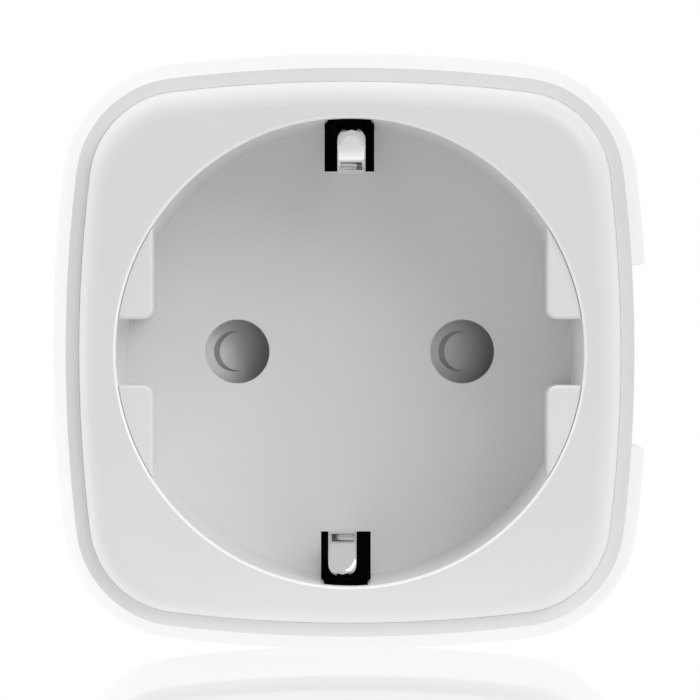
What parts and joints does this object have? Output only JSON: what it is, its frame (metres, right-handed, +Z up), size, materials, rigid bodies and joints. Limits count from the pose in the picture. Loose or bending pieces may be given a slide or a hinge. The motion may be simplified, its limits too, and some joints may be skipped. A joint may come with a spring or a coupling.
{
  "type": "smart plug",
  "caption": "Square-round white mains smart plug with a round earthed socket recess in front, a side key, and an earthed plug barrel with round pins behind.",
  "frame": {"origin": "centre of the flat shoulder that meets the wall outlet, on the plug barrel's axis", "axes": "+Y into the wall along the plug pins, +X to the user's right and through the side key, +Z up"},
  "size_m": [0.0502, 0.0771, 0.0504],
  "materials": {
    "white_shell": "satin moulded polycarbonate",
    "white_key": "semi-gloss moulded key",
    "white_insert": "fine moulded texture",
    "clear_guide": "clear acrylic",
    "black_base": "matt glass-filled black",
    "spring_steel": "bright nickel plated strip",
    "spring_wire": "drawn wire",
    "plated_brass": "nickel plated turned brass",
    "brass": "stamped",
    "screw_steel": "zinc plated",
    "circuit_board": "solder mask over glass laminate",
    "copper_track": "gold flashed copper",
    "tin_shield": "tin plated pressed can",
    "switch_body": "moulded nylon",
    "led_lens": "clear epoxy",
    "capacitor_sleeve": "shrink sleeve",
    "ferrite": "sintered",
    "copper_wire": "enamelled winding wire",
    "blue_epoxy": "dipped epoxy",
    "green_epoxy": "dipped enamel",
    "chip_body": "moulded epoxy",
    "relay_case": "moulded case",
    "relay_insulator": "moulded nylon",
    "soft_iron": "nickel flashed iron"
  },
  "bodies": {
    "casing": {"front_cover": "white_shell", "rear_housing": "white_shell", "plug_barrel": "white_shell", "socket_wall": "white_insert", "socket_floor": "white_insert", "contact_base": "black_base", "shutter_spring": "spring_wire", "line_socket_contact": "brass", "neutral_socket_contact": "brass", "earth_strap": "brass", "line_plug_pin": "plated_brass", "neutral_plug_pin": "plated_brass", "earth_strip_top": "spring_steel", "earth_strip_bottom": "spring_steel", "earth_pin_sleeve": "brass", "housing_screws": "screw_steel", "tact_switch": "switch_body", "status_led": "led_lens", "control_board": "circuit_board", "radio_board": "circuit_board", "radio_shield": "tin_shield", "radio_antenna": "copper_track", "main_board": "circuit_board", "capacitors": "capacitor_sleeve", "choke_core": "ferrite", "choke_winding": "copper_wire", "varistor": "blue_epoxy", "fuse_resistor": "green_epoxy", "board_chips": "chip_body", "relay_base": "relay_case", "relay_cover": "relay_case", "relay_terminals": "plated_brass", "relay_bobbin": "relay_insulator", "relay_winding": "copper_wire", "relay_yoke": "soft_iron", "relay_fixed_contact": "brass"},
    "button": {"power_button": "white_key", "light_guide": "clear_guide"},
    "plunger": {"switch_plunger": "switch_body"},
    "shutter": {"shutter_slider": "white_insert"},
    "top_clip": {"earth_clip_top": "spring_steel"},
    "bottom_clip": {"earth_clip_bottom": "spring_steel"},
    "armature": {"relay_armature": "soft_iron", "relay_contact_arm": "brass"}
  },
  "joints": [
    {"name": "button_press", "type": "slide", "parent": "casing", "child": "button", "axis": [-1, 0, 0], "range_m": [0, 0.0005], "stiffness_N_per_m": 800, "springref_m": -0.0003},
    {"name": "plunger_press", "type": "slide", "parent": "casing", "child": "plunger", "axis": [-1, 0, 0], "range_m": [0, 0.0005]},
    {"name": "shutter_slide", "type": "slide", "parent": "casing", "child": "shutter", "axis": [-1, 0, 0], "range_m": [0, 0.0056], "stiffness_N_per_m": 120, "springref_m": -0.002, "deforming": ["shutter_spring"]},
    {"name": "top_clip_flex", "type": "hinge", "parent": "casing", "child": "top_clip", "pos_m": [0, -0.0166, 0.01775], "axis": [-1, 0, 0], "range_deg": [0, 3.8], "stiffness_Nm_per_rad": 0.6, "springref_deg": -2.86},
    {"name": "bottom_clip_flex", "type": "hinge", "parent": "casing", "child": "bottom_clip", "pos_m": [0, -0.0166, -0.01775], "axis": [1, 0, 0], "range_deg": [0, 3.8], "stiffness_Nm_per_rad": 0.6, "springref_deg": -2.86},
    {"name": "armature_tip", "type": "hinge", "parent": "casing", "child": "armature", "pos_m": [0, 0.00935, -0.00295], "axis": [-1, 0, 0], "range_deg": [0, 3.8], "stiffness_Nm_per_rad": 0.02, "springref_deg": -1.15}
  ],
  "couplings": [
    {"joint": "plunger_press", "follows": "button_press", "ratio": 1}
  ]
}
